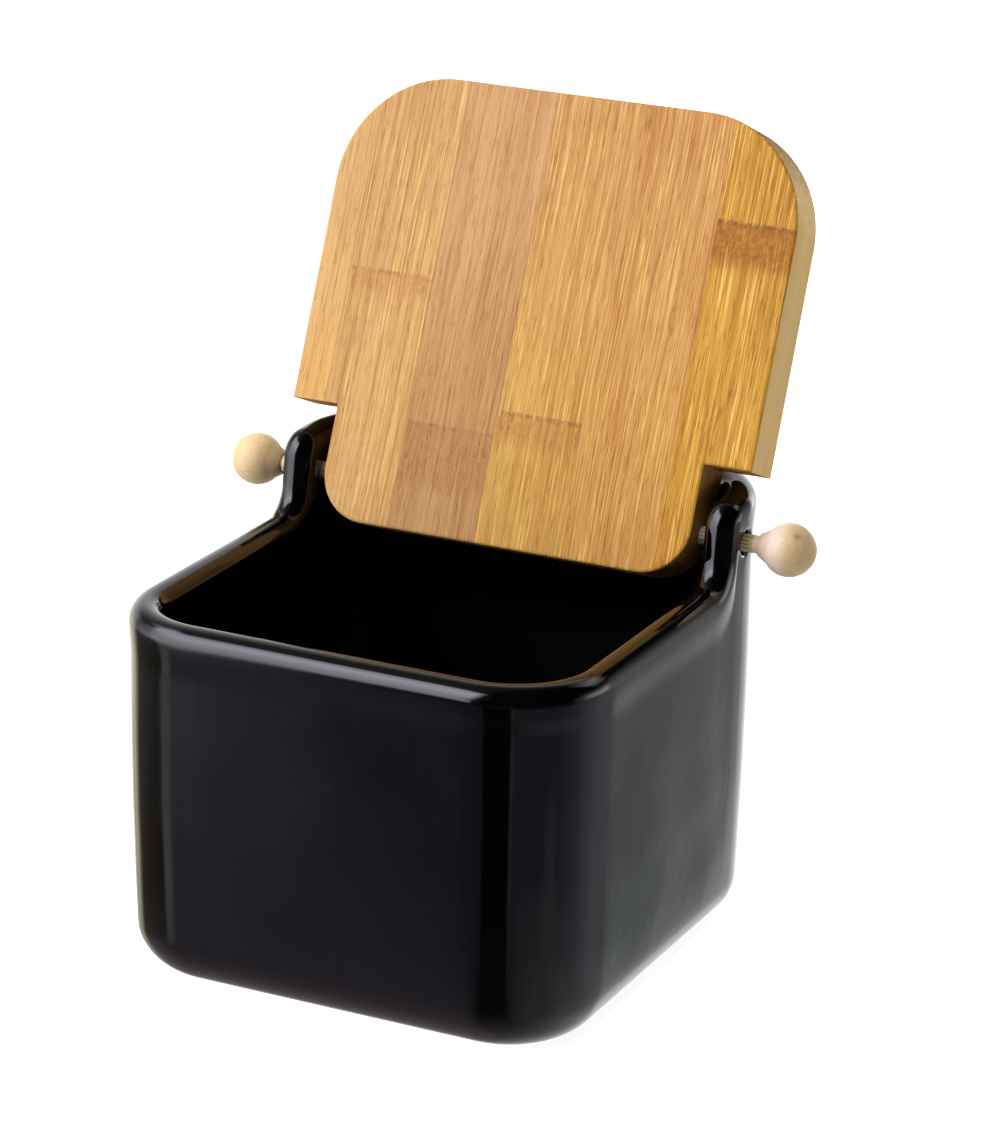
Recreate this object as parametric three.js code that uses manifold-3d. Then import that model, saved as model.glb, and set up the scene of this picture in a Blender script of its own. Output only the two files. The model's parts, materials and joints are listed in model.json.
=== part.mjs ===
// Sugar bowl: a square ceramic bowl with a raised back wall, and a bamboo lid that turns on two
// fluted dowels passing through the front ends ("ears") of the raised wall. A drilled wooden ball
// caps each dowel. Millimetres, +Z up, the open front of the bowl towards -Y, origin at the middle
// of the flat underside. The lid is drawn open, leaning back on the raised wall.
import * as THREE from "three";
import { mergeVertices } from "three/addons/utils/BufferGeometryUtils.js";
import Module from "manifold-3d";

// ---------- bowl ----------
const BOWL_HALF_WIDTH = 54.2; // outer half width at the rim
const BOWL_HALF_DEPTH = 55.2; // outer half depth at the rim
const BOWL_CORNER_RADIUS = 22; // plan radius of the four upright corners
const WALL_THICKNESS = 7.6; // at the rim; the rim is a full round of this width
const FRONT_RIM_HEIGHT = 80.6; // crest of the low rim at the front and the sides
const EAR_TOP_HEIGHT = 97.5; // crest of the raised wall just behind its front end
const BACK_TOP_HEIGHT = 98.8; // crest of the raised wall at the back
const EAR_FRONT_Y = 28.2; // middle line of the wall where it climbs to the ear
const EAR_FOOT_RADIUS = 10; // hollow curve from the rim up to the ear, on the rim's middle line
const EAR_TOP_RADIUS = 2.2; // turn from the ear's front to its top, on the rim's middle line
const EAR_LEAN_DEG = 5; // the ear's front leans back this much
const BASE_RADIUS = 9.8; // rounding from the side wall into the flat underside
const WALL_INSET = [
  // [height, how far the outer wall stands in from its rim outline]
  [0, 1.6],
  [18, 0.95],
  [36, 0.5],
  [54, 0.3],
  [120, 0.3],
];
const RIM_SWELL = 0.3; // the last few millimetres of wall below the crest swell out again
const RIM_SWELL_DEPTH = 8; // height of wall over which the rim swells
const FLOOR_HEIGHT = 7.5; // thickness of the floor
const FLOOR_RADIUS = 9; // rounding inside, from floor to wall
const CAVITY_DRAFT = 0.8; // how much thicker the wall is at the floor than at the rim
const EAR_HOLE_DIAMETER = 5.2; // hole through each ear for its dowel

// ---------- hinge axis and lid ----------
const AXIS_Y = 33.3;
const AXIS_Z = 87.7;
const LID_HALF_WIDTH = 54.75;
const LID_REACH = 88.6; // hinge axis to front edge
const LID_FRONT_RADIUS = 25;
const LID_BELOW_AXIS = 6.8; // underside of the closed lid below the axis
const LID_ABOVE_AXIS = 5.2; // top of the closed lid above the axis
const NOTCH_REACH = 14.4; // hinge axis to the square shoulders of the notches
const TONGUE_HALF_WIDTH = 43.8;
const TONGUE_REACH = 10.5; // hinge axis to the tongue's end
const TONGUE_RADIUS = 11;
const LID_EDGE = 0.5; // eased edge all round both faces
const LEAN_BACK_DEG = 23; // lid past upright in the open pose
const DOWEL_SOCKET_DEPTH = 10; // in the tongue's side edge

// ---------- dowels and knobs ----------
const DOWEL_RADIUS = 1.95;
const FLUTE_DEPTH = 0.16;
const FLUTES = 14;
const FIT = 0.2; // radial room round a dowel in its socket
const END_GAP = 0.3; // room at the blind end of a socket
const FLUTED_TO_X = 55.3; // the dowel is plain beyond this
const KNOB_CENTRE_X = 63.8;
const KNOB_RADIUS = 5.8;
const KNOB_MOUTH_X = 57.2; // where the ball's short neck ends
const KNOB_MOUTH_RADIUS = 2.55;
const KNOB_FLARE_DEG = 38; // where the neck's flare meets the ball, from the axis
const KNOB_SOCKET_X = 61.4; // blind end of the knob's socket

// ---------- how finely the round surfaces are divided ----------
const CORNER_STEPS = 9; // each quarter-round corner of the bowl and of the lid
const FOOT_STEPS = 9; // the hollow curve up to an ear
const EAR_TURN_STEPS = 6;
const RIM_STEPS = 9; // half round of the rim's section
const BASE_STEPS = 6; // rounding under the bowl, and inside at the floor
const OUTER_LEVELS = [0.2, 0.42, 0.62, 0.8, 0.9]; // outer wall rings, from base to crest
const INNER_LEVELS = [0.7, 0.35]; // inner wall rings, from crest to floor
const SIDE_STATIONS_Y = [-13.28, 3.32]; // sections along the straight side, in front of the ear
const HOLE_SEGMENTS = 32;
const SOCKET_SEGMENTS = 28;
const DOWEL_SEGMENTS = 40;
const KNOB_STEPS = 12;
const KNOB_SEGMENTS = 28;
const CUT_PAST = 5; // how far a cutting cylinder runs past the face it opens

const RAD = Math.PI / 180;
const wasm = await Module();
wasm.setup();

// A closed geometry as a solid for cutting.
function toSolid(geometry) {
  const g = geometry.clone();
  g.deleteAttribute("normal");
  g.deleteAttribute("uv");
  const merged = mergeVertices(g, 1e-4);
  return new wasm.Manifold(
    new wasm.Mesh({
      numProp: 3,
      vertProperties: merged.attributes.position.array,
      triVerts: new Uint32Array(merged.index.array),
    }),
  );
}

function toGeometry(solid) {
  const mesh = solid.getMesh();
  const g = new THREE.BufferGeometry();
  g.setAttribute(
    "position",
    new THREE.BufferAttribute(new Float32Array(mesh.vertProperties), 3),
  );
  g.setIndex(new THREE.BufferAttribute(new Uint32Array(mesh.triVerts), 1));
  g.computeVertexNormals();
  return g;
}

// A plain cylinder along X between two stations, centred on (y, z).
function cylinderAlongX(radius, x0, x1, y, z, segments) {
  const g = new THREE.CylinderGeometry(radius, radius, Math.abs(x1 - x0), segments);
  g.rotateZ(Math.PI / 2);
  g.translate((x0 + x1) / 2, y, z);
  return g;
}

function interpolate(table, at) {
  let i = 1;
  while (i < table.length - 1 && table[i][0] < at) i++;
  const [x0, y0] = table[i - 1];
  const [x1, y1] = table[i];
  return y0 + ((y1 - y0) * Math.min(Math.max(at - x0, 0), x1 - x0)) / (x1 - x0);
}

// ---------- the bowl ----------
// The rim's middle line in side view: [y, z] from the front rim, up the ear, back along its top.
const RIM_RADIUS = WALL_THICKNESS / 2;
function rimLine() {
  const low = FRONT_RIM_HEIGHT - RIM_RADIUS;
  const high = EAR_TOP_HEIGHT - RIM_RADIUS;
  const turn = (90 - EAR_LEAN_DEG) * RAD;
  const rise = Math.tan(turn);
  const points = [];
  const footStart = EAR_FRONT_Y - EAR_FOOT_RADIUS;
  for (let i = 0; i <= FOOT_STEPS; i++) {
    const a = (turn * i) / FOOT_STEPS;
    points.push([
      footStart + EAR_FOOT_RADIUS * Math.sin(a),
      low + EAR_FOOT_RADIUS * (1 - Math.cos(a)),
    ]);
  }
  const [footY, footZ] = points[points.length - 1];
  const topStartZ = high - EAR_TOP_RADIUS * (1 - Math.cos(turn));
  const topStartY = footY + (topStartZ - footZ) / rise;
  for (let i = 0; i <= EAR_TURN_STEPS; i++) {
    const a = turn * (1 - i / EAR_TURN_STEPS);
    points.push([
      topStartY + EAR_TOP_RADIUS * (Math.sin(turn) - Math.sin(a)),
      high - EAR_TOP_RADIUS * (1 - Math.cos(a)),
    ]);
  }
  return points;
}

// Stations round the bowl, counter-clockwise from the middle of the front. Each holds the
// outline point, its outward normal, the height of the rim's middle line and its slope.
function stations() {
  const line = rimLine();
  const low = FRONT_RIM_HEIGHT - RIM_RADIUS;
  const [lastY, lastZ] = line[line.length - 1];
  const climb = (BACK_TOP_HEIGHT - RIM_RADIUS - lastZ) / (BOWL_HALF_DEPTH - lastY);
  const heightAt = (y) => {
    if (y <= line[0][0]) return low;
    if (y >= lastY) return lastZ + climb * (y - lastY);
    return interpolate(line, y);
  };
  const cx = BOWL_HALF_WIDTH - BOWL_CORNER_RADIUS;
  const cy = BOWL_HALF_DEPTH - BOWL_CORNER_RADIUS;
  const half = []; // right-hand half, from the middle of the front to the middle of the back
  for (const x of [0, cx / 2]) half.push([x, -BOWL_HALF_DEPTH, 0, -1]);
  for (let i = 0; i <= CORNER_STEPS; i++) {
    const a = ((i / CORNER_STEPS) * 90 - 90) * RAD;
    half.push([
      cx + BOWL_CORNER_RADIUS * Math.cos(a),
      -cy + BOWL_CORNER_RADIUS * Math.sin(a),
      Math.cos(a),
      Math.sin(a),
    ]);
  }
  for (const y of SIDE_STATIONS_Y) half.push([BOWL_HALF_WIDTH, y, 1, 0]);
  for (const [y] of line) half.push([BOWL_HALF_WIDTH, y, 1, 0]);
  for (let i = 0; i <= CORNER_STEPS; i++) {
    const a = (i / CORNER_STEPS) * 90 * RAD;
    half.push([
      cx + BOWL_CORNER_RADIUS * Math.cos(a),
      cy + BOWL_CORNER_RADIUS * Math.sin(a),
      Math.cos(a),
      Math.sin(a),
    ]);
  }
  for (const x of [cx / 2, 0]) half.push([x, BOWL_HALF_DEPTH, 0, 1]);
  const all = [...half];
  for (let i = half.length - 2; i > 0; i--) {
    const [x, y, nx, ny] = half[i];
    all.push([-x, y, -nx, ny]);
  }
  const placed = all.map(([x, y, nx, ny]) => ({ x, y, nx, ny, z: heightAt(y) }));
  // Direction of the rim's middle line, so that its round section stands square to it.
  const inset = (s) => [s.x - RIM_RADIUS * s.nx, s.y - RIM_RADIUS * s.ny, s.z];
  const n = placed.length;
  placed.forEach((s, i) => {
    const a = new THREE.Vector3(...inset(placed[(i + n - 1) % n]));
    const b = new THREE.Vector3(...inset(s));
    const c = new THREE.Vector3(...inset(placed[(i + 1) % n]));
    const along = b.clone().sub(a).normalize().add(c.sub(b).normalize()).normalize();
    const out = new THREE.Vector3(s.nx, s.ny, 0);
    s.up = out.clone().cross(along).negate().normalize();
    if (s.up.z < 0) s.up.negate();
    s.out = out;
  });
  return placed;
}

function wallInset(z, crest) {
  const below = Math.min(1, Math.max(0, (crest - z) / RIM_SWELL_DEPTH));
  return interpolate(WALL_INSET, z) - RIM_SWELL * (1 - below * below * (3 - 2 * below));
}

// The section of the bowl at one station, from the middle of the underside, up the outer wall,
// over the round rim, down the inner wall to the middle of the floor.
function section(s) {
  const points = [];
  const at = (offset, z) => [s.x - offset * s.nx, s.y - offset * s.ny, z];
  for (let i = 0; i <= BASE_STEPS; i++) {
    const a = (i / BASE_STEPS) * 90 * RAD;
    const z = BASE_RADIUS * (1 - Math.cos(a));
    const offset = interpolate(WALL_INSET, z) + BASE_RADIUS * (1 - Math.sin(a));
    points.push(at(offset, z));
  }
  const crest = s.z;
  for (const f of OUTER_LEVELS) {
    const z = BASE_RADIUS + (crest - BASE_RADIUS) * f;
    points.push(at(wallInset(z, crest), z));
  }
  const rimInset = wallInset(crest, crest);
  for (let i = 0; i <= RIM_STEPS; i++) {
    const a = (i / RIM_STEPS) * Math.PI;
    const out = RIM_RADIUS * Math.cos(a) * (i === 0 ? (RIM_RADIUS - rimInset) / RIM_RADIUS : 1);
    const up = RIM_RADIUS * Math.sin(a);
    const [x, y, z] = at(RIM_RADIUS, crest);
    points.push([
      x + s.out.x * out + s.up.x * up,
      y + s.out.y * out + s.up.y * up,
      z + s.up.z * up,
    ]);
  }
  const inner = (z) => WALL_THICKNESS + (CAVITY_DRAFT * (crest - z)) / crest;
  for (const f of INNER_LEVELS) {
    const z = FLOOR_HEIGHT + FLOOR_RADIUS + (crest - FLOOR_HEIGHT - FLOOR_RADIUS) * f;
    points.push(at(inner(z), z));
  }
  for (let i = 0; i <= BASE_STEPS; i++) {
    const a = (i / BASE_STEPS) * 90 * RAD;
    const z = FLOOR_HEIGHT + FLOOR_RADIUS * (1 - Math.sin(a));
    points.push(at(inner(z) + FLOOR_RADIUS * (1 - Math.cos(a)), z));
  }
  return points;
}

function bowlGeometry() {
  const ring = stations().map(section);
  const n = ring.length;
  const m = ring[0].length;
  const vertices = ring.flat(2);
  const bottom = n * m;
  const floor = bottom + 1;
  vertices.push(0, 0, 0, 0, 0, FLOOR_HEIGHT);
  const faces = [];
  for (let i = 0; i < n; i++) {
    const a = i * m;
    const b = ((i + 1) % n) * m;
    faces.push(bottom, b, a);
    for (let j = 0; j < m - 1; j++) {
      faces.push(a + j, b + j, b + j + 1, a + j, b + j + 1, a + j + 1);
    }
    faces.push(floor, a + m - 1, b + m - 1);
  }
  const g = new THREE.BufferGeometry();
  g.setAttribute("position", new THREE.Float32BufferAttribute(vertices, 3));
  g.setIndex(faces);
  let solid = toSolid(g);
  for (const side of [-1, 1]) {
    const hole = cylinderAlongX(
      EAR_HOLE_DIAMETER / 2,
      side * (BOWL_HALF_WIDTH - WALL_THICKNESS - CUT_PAST),
      side * (BOWL_HALF_WIDTH + CUT_PAST),
      AXIS_Y,
      AXIS_Z,
      HOLE_SEGMENTS,
    );
    solid = solid.subtract(toSolid(hole));
  }
  return toGeometry(solid);
}

// ---------- the lid ----------
// Drawn closed, with the hinge axis at the origin: -Y is the front.
function lidGeometry() {
  const w = LID_HALF_WIDTH - LID_EDGE;
  const t = TONGUE_HALF_WIDTH - LID_EDGE;
  const front = -(LID_REACH - LID_EDGE);
  const shoulder = -(NOTCH_REACH + LID_EDGE);
  const end = TONGUE_REACH - LID_EDGE;
  const rf = LID_FRONT_RADIUS - LID_EDGE;
  const rt = TONGUE_RADIUS - LID_EDGE;
  const shape = new THREE.Shape();
  shape.moveTo(-w + rf, front);
  shape.lineTo(w - rf, front);
  shape.absarc(w - rf, front + rf, rf, -Math.PI / 2, 0, false);
  shape.lineTo(w, shoulder);
  shape.lineTo(t, shoulder);
  shape.lineTo(t, end - rt);
  shape.absarc(t - rt, end - rt, rt, 0, Math.PI / 2, false);
  shape.lineTo(-t + rt, end);
  shape.absarc(-t + rt, end - rt, rt, Math.PI / 2, Math.PI, false);
  shape.lineTo(-t, shoulder);
  shape.lineTo(-w, shoulder);
  shape.lineTo(-w, front + rf);
  shape.absarc(-w + rf, front + rf, rf, Math.PI, Math.PI * 1.5, false);
  const thickness = LID_BELOW_AXIS + LID_ABOVE_AXIS;
  const board = new THREE.ExtrudeGeometry(shape, {
    depth: thickness - 2 * LID_EDGE,
    bevelEnabled: true,
    bevelThickness: LID_EDGE,
    bevelSize: LID_EDGE,
    bevelSegments: 1,
    curveSegments: CORNER_STEPS,
  });
  board.translate(0, 0, LID_EDGE - LID_BELOW_AXIS);
  let solid = toSolid(board);
  for (const side of [-1, 1]) {
    const socket = cylinderAlongX(
      DOWEL_RADIUS + FIT,
      side * (TONGUE_HALF_WIDTH - DOWEL_SOCKET_DEPTH),
      side * (TONGUE_HALF_WIDTH + CUT_PAST),
      0,
      0,
      SOCKET_SEGMENTS,
    );
    solid = solid.subtract(toSolid(socket));
  }
  return toGeometry(solid);
}

// ---------- dowels and knobs ----------
// Both lie along X about the hinge axis; side is -1 on the left and 1 on the right.
function dowelGeometry(side) {
  const from = TONGUE_HALF_WIDTH - DOWEL_SOCKET_DEPTH + END_GAP;
  const to = KNOB_SOCKET_X - END_GAP;
  const outline = new THREE.Shape();
  const perFlute = 4; // one point in the groove, three on the land
  const points = perFlute * FLUTES;
  for (let i = 0; i < points; i++) {
    const a = (i / points) * 2 * Math.PI;
    const r = i % perFlute === 0 ? DOWEL_RADIUS - FLUTE_DEPTH : DOWEL_RADIUS;
    if (i === 0) outline.moveTo(r * Math.cos(a), r * Math.sin(a));
    else outline.lineTo(r * Math.cos(a), r * Math.sin(a));
  }
  const fluted = new THREE.ExtrudeGeometry(outline, {
    depth: FLUTED_TO_X - from,
    bevelEnabled: false,
  });
  fluted.rotateY(Math.PI / 2);
  fluted.translate(from, 0, 0);
  const plain = cylinderAlongX(DOWEL_RADIUS, FLUTED_TO_X - END_GAP, to, 0, 0, DOWEL_SEGMENTS);
  const g = toGeometry(toSolid(fluted).add(toSolid(plain)));
  if (side < 0) g.rotateZ(Math.PI);
  return g;
}

function knobGeometry(side) {
  const profile = [];
  const add = (x, r) => profile.push(new THREE.Vector2(r, x));
  add(KNOB_SOCKET_X, 0);
  add(KNOB_SOCKET_X, DOWEL_RADIUS + FIT);
  add(KNOB_MOUTH_X, DOWEL_RADIUS + FIT);
  add(KNOB_MOUTH_X, KNOB_MOUTH_RADIUS);
  for (let i = 0; i <= KNOB_STEPS; i++) {
    const a = (KNOB_FLARE_DEG + ((180 - KNOB_FLARE_DEG) * i) / KNOB_STEPS) * RAD;
    add(
      KNOB_CENTRE_X - KNOB_RADIUS * Math.cos(a),
      i === KNOB_STEPS ? 0 : KNOB_RADIUS * Math.sin(a),
    );
  }
  const g = new THREE.LatheGeometry(profile, KNOB_SEGMENTS);
  g.rotateZ(-Math.PI / 2);
  if (side < 0) g.rotateZ(Math.PI);
  return g;
}

// ---------- assembly ----------
const glaze = new THREE.MeshStandardMaterial({ color: 0x08080a, roughness: 0.08, metalness: 0 });
const bamboo = new THREE.MeshStandardMaterial({ color: 0xd9a566, roughness: 0.55, metalness: 0 });
const beech = new THREE.MeshStandardMaterial({ color: 0xe3cfa4, roughness: 0.6, metalness: 0 });
const dowelWood = new THREE.MeshStandardMaterial({ color: 0xd6c294, roughness: 0.7, metalness: 0 });

function named(name, geometry, material) {
  const mesh = new THREE.Mesh(geometry, material);
  mesh.name = name;
  return mesh;
}

const sugarBowl = new THREE.Group();
sugarBowl.name = "sugar_bowl";
sugarBowl.add(named("bowl", bowlGeometry(), glaze));

const lidAssembly = new THREE.Group();
lidAssembly.name = "lid_assembly";
lidAssembly.position.set(0, AXIS_Y, AXIS_Z);
lidAssembly.rotation.x = -(90 + LEAN_BACK_DEG) * RAD;
lidAssembly.add(
  named("lid", lidGeometry(), bamboo),
  named("left_pivot_dowel", dowelGeometry(-1), dowelWood),
  named("right_pivot_dowel", dowelGeometry(1), dowelWood),
  named("left_knob", knobGeometry(-1), beech),
  named("right_knob", knobGeometry(1), beech),
);
sugarBowl.add(lidAssembly);

export default sugarBowl;
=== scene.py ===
import json
import math

import bmesh
import bpy
from mathutils import Matrix, Vector, noise


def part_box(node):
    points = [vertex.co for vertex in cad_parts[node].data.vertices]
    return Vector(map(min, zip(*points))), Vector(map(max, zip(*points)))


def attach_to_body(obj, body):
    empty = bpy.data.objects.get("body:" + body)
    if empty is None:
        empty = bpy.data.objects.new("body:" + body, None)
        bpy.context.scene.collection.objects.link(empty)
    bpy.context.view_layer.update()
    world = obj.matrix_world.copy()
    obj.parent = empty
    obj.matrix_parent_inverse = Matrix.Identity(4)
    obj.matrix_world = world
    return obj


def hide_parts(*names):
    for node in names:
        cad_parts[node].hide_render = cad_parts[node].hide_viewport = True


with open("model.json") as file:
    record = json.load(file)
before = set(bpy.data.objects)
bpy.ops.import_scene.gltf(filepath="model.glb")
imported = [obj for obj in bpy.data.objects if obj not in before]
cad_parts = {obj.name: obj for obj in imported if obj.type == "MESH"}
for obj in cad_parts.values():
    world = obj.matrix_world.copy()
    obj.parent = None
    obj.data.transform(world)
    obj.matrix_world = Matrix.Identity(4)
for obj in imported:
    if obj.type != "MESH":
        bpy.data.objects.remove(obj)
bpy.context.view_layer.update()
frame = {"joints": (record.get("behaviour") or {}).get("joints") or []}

MM = 0.001

# ---------------------------------------------------------------- sizes from the frame
bowl_box = [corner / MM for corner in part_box("bowl")]
lid_joint = frame["joints"][0]
AXIS = Vector(lid_joint["pos_m"]) / MM
LEAN = math.radians(lid_joint["range_deg"][1])
KNOB_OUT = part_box("right_knob")[1].x / MM
KNOB_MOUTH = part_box("right_knob")[0].x / MM
LID_HALF_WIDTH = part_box("lid")[1].x / MM
DOWEL_RADIUS = (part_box("right_pivot_dowel")[1].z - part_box("right_pivot_dowel")[0].z) / 2 / MM
DOWEL_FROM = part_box("right_pivot_dowel")[0].x / MM
DOWEL_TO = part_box("right_pivot_dowel")[1].x / MM

# bowl
HALF_WIDTH = bowl_box[1].x
HALF_DEPTH = bowl_box[1].y
BACK_TOP = bowl_box[1].z
CORNER_RADIUS = 22.0
WALL = 7.6
RIM = WALL / 2            # radius of the rounded rim
FRONT_RIM = 80.6
EAR_TOP = 97.5
EAR_FRONT_Y = 28.1
EAR_FOOT_RADIUS = 10.0
EAR_TURN_RADIUS = 2.2
EAR_LEAN = math.radians(8.5)
BASE_RADIUS = 9.8
WALL_INSET = [(0, 1.6), (18, 0.95), (36, 0.5), (54, 0.3), (120, 0.3)]  # height, how far in the wall stands
RIM_SWELL = 0.3          # the wall swells out by this to meet the rim
RIM_SWELL_DEPTH = 8.0
REAR_SOFTENING = 0.28    # how far the wall draws in as it turns into a rear corner
SLOW_WAVER = (0.08, 0.06)    # unevenness of the wall near the rim, and what is added lower down
QUICK_WAVER = (0.01, 0.022)
FLOOR_Z = 7.5
FLOOR_RADIUS = 9.0
CAVITY_DRAFT = 0.8
HOLE_RADIUS = 2.6
HOLE_EASE = 0.8          # rounded glaze lip round each ear hole
NEAR_RIM = [12, 10.8, 9.6, 8.4, 7.2, 6.0, 4.8, 3.6, 2.4, 1.3]  # wall rings below the crest
WALL_RINGS = 14          # wall rings under those
HOLE_PATCH_Y = (29.7, 38.0)  # the patch of wall that is remeshed round each ear hole
HOLE_PATCH_RINGS = (1, 9)    # indices in NEAR_RIM
BASE_STEPS = 12          # mesh steps round the base, the rim and each upright corner
RIM_STEPS = 20
CORNER_STEPS = 20
FLAT_STEPS = 5           # mesh steps along half of the front or the back

# lid
LID_REACH = 88.6
LID_FRONT_RADIUS = 25.0
LID_BELOW = 6.8
LID_ABOVE = 5.2
NOTCH_REACH = 14.4
TONGUE_HALF_WIDTH = 43.8
TONGUE_REACH = 10.5
TONGUE_RADIUS = 11.0
LID_EASE = 0.6
SOCKET_DEPTH = 10.0
SOCKET_RADIUS = 2.15

# dowels and knobs
FLUTES = 14
FLUTE_DEPTH = 0.2
FLUTED_TO = 55.3
KNOB_CENTRE = 63.8
KNOB_RADIUS = KNOB_OUT - KNOB_CENTRE
KNOB_MOUTH_RADIUS = 2.55
KNOB_SOCKET = 61.4


# ---------------------------------------------------------------- mesh helpers
def make_object(name, points, faces, material):
    """A smooth mesh object from points in millimetres."""
    mesh = bpy.data.meshes.new(name)
    mesh.from_pydata([Vector(p) * MM for p in points], [], faces)
    mesh.validate()
    mesh.shade_smooth()
    mesh.materials.append(material)
    obj = bpy.data.objects.new(name, mesh)
    bpy.context.scene.collection.objects.link(obj)
    return obj


def attach(obj, body, slot_name, *nodes):
    """Let a finished object ride on a body of the frame, in the place of its CAD nodes."""
    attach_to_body(obj, body)
    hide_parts(*nodes)


def lookup(table, at):
    """A value read off a table of (position, value) rows, held at both ends."""
    i = 1
    while i < len(table) - 1 and table[i][0] < at:
        i += 1
    (x0, y0), (x1, y1) = table[i - 1], table[i]
    return y0 + (y1 - y0) * min(max(at - x0, 0), x1 - x0) / (x1 - x0)


def smooth_step(value, low, high):
    share = min(1.0, max(0.0, (value - low) / (high - low)))
    return share * share * (3 - 2 * share)


# ---------------------------------------------------------------- bowl
def rim_line():
    """The rim's middle line in side view, (y, z): low rim, hollow climb, turn to the ear's top."""
    low = FRONT_RIM - RIM
    high = EAR_TOP - RIM
    turn = math.pi / 2 - EAR_LEAN
    foot_steps, turn_steps = 16, 10
    start = EAR_FRONT_Y - EAR_FOOT_RADIUS
    line = []
    for i in range(foot_steps + 1):
        a = turn * i / foot_steps
        line.append((start + EAR_FOOT_RADIUS * math.sin(a), low + EAR_FOOT_RADIUS * (1 - math.cos(a))))
    y0, z0 = line[-1]
    z1 = high - EAR_TURN_RADIUS * (1 - math.cos(turn))
    y1 = y0 + (z1 - z0) / math.tan(turn)
    for k in (1 / 3, 2 / 3):
        line.append((y0 + (y1 - y0) * k, z0 + (z1 - z0) * k))
    for i in range(turn_steps + 1):
        a = turn * (1 - i / turn_steps)
        line.append((y1 + EAR_TURN_RADIUS * (math.sin(turn) - math.sin(a)),
                     high - EAR_TURN_RADIUS * (1 - math.cos(a))))
    return line


RIM_LINE = rim_line()
CORNER_X = HALF_WIDTH - CORNER_RADIUS
CORNER_Y = HALF_DEPTH - CORNER_RADIUS


def crest_height(y):
    """Height of the rim's middle line above the point y of the outline."""
    last_y, last_z = RIM_LINE[-1]
    if y <= RIM_LINE[0][0]:
        return RIM_LINE[0][1]
    if y >= last_y:
        return last_z + (BACK_TOP - RIM - last_z) * (y - last_y) / (HALF_DEPTH - last_y)
    return lookup(RIM_LINE, y)


def wall_inset(z, crest):
    """How far the wall's outer face stands inside the bowl's outline, at a height."""
    return lookup(WALL_INSET, z) - RIM_SWELL * (1 - smooth_step(crest - z, 0, RIM_SWELL_DEPTH))


def cavity_inset(z, crest):
    """How far the cavity's face stands inside the bowl's outline, at a height."""
    return WALL + CAVITY_DRAFT * (crest - z) / crest


def outline():
    """Points round the bowl, counter-clockwise from the middle of the front: x, y, normal, height."""
    half = [(CORNER_X * k / FLAT_STEPS, -HALF_DEPTH, 0, -1) for k in range(FLAT_STEPS)]
    for i in range(CORNER_STEPS + 1):
        a = math.radians(90 * i / CORNER_STEPS - 90)
        half.append((CORNER_X + CORNER_RADIUS * math.cos(a), -CORNER_Y + CORNER_RADIUS * math.sin(a),
                     math.cos(a), math.sin(a)))
    first_y = RIM_LINE[0][0]
    side_steps = 10
    for k in range(1, side_steps):
        half.append((HALF_WIDTH, -CORNER_Y + (first_y + CORNER_Y) * k / side_steps, 1, 0))
    for y, _ in RIM_LINE:
        half.append((HALF_WIDTH, y, 1, 0))
    for k in (1 / 3, 2 / 3):
        half.append((HALF_WIDTH, RIM_LINE[-1][0] + (CORNER_Y - RIM_LINE[-1][0]) * k, 1, 0))
    for i in range(CORNER_STEPS + 1):
        a = math.radians(90 * i / CORNER_STEPS)
        half.append((CORNER_X + CORNER_RADIUS * math.cos(a), CORNER_Y + CORNER_RADIUS * math.sin(a),
                     math.cos(a), math.sin(a)))
    half += [(CORNER_X * k / FLAT_STEPS, HALF_DEPTH, 0, 1) for k in reversed(range(FLAT_STEPS))]
    ring = half + [(-x, y, -nx, ny) for x, y, nx, ny in half[-2:0:-1]]
    return [(x, y, nx, ny, crest_height(y)) for x, y, nx, ny in ring]


def section(i, ring):
    """The bowl's section at one outline point, from the underside round to the cavity floor."""
    x, y, nx, ny, crest = ring[i]
    n = len(ring)

    def at(inset, z):
        return Vector((x - inset * nx, y - inset * ny, z))

    def middle(k):
        px, py, pnx, pny, pz = ring[k % n]
        return Vector((px - RIM * pnx, py - RIM * pny, pz))

    along = ((middle(i) - middle(i - 1)).normalized() + (middle(i + 1) - middle(i)).normalized())
    out = Vector((nx, ny, 0))
    up = along.cross(out).normalized()
    if up.z < 0:
        up.negate()
    points = []
    for k in (0.35, 0.7):
        points.append(Vector((x * k, y * k, 0)))
    for k in range(BASE_STEPS + 1):
        a = math.pi / 2 * k / BASE_STEPS
        z = BASE_RADIUS * (1 - math.cos(a))
        points.append(at(lookup(WALL_INSET, z) + BASE_RADIUS * (1 - math.sin(a)), z))
    top = crest - NEAR_RIM[0]
    for k in range(1, WALL_RINGS):
        z = BASE_RADIUS + (top - BASE_RADIUS) * k / WALL_RINGS
        points.append(at(wall_inset(z, crest), z))
    for d in NEAR_RIM:
        points.append(at(wall_inset(crest - d, crest), crest - d))
    centre = at(RIM, crest)
    for k in range(RIM_STEPS + 1):
        a = math.pi * k / RIM_STEPS
        points.append(centre + out * (RIM * math.cos(a)) + up * (RIM * math.sin(a)))
    for d in reversed(NEAR_RIM):
        points.append(at(cavity_inset(crest - d, crest), crest - d))
    low = FLOOR_Z + FLOOR_RADIUS
    for k in range(WALL_RINGS - 1, -1, -1):
        z = low + (top - low) * k / WALL_RINGS
        points.append(at(cavity_inset(z, crest), z))
    for k in range(1, BASE_STEPS + 1):
        a = math.pi / 2 * k / BASE_STEPS
        z = FLOOR_Z + FLOOR_RADIUS * (1 - math.sin(a))
        points.append(at(cavity_inset(z, crest) + FLOOR_RADIUS * (1 - math.cos(a)), z))
    inner = points[-1]
    for k in (0.66, 0.33):
        points.append(Vector((inner.x * k, inner.y * k, FLOOR_Z)))
    return points


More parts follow.
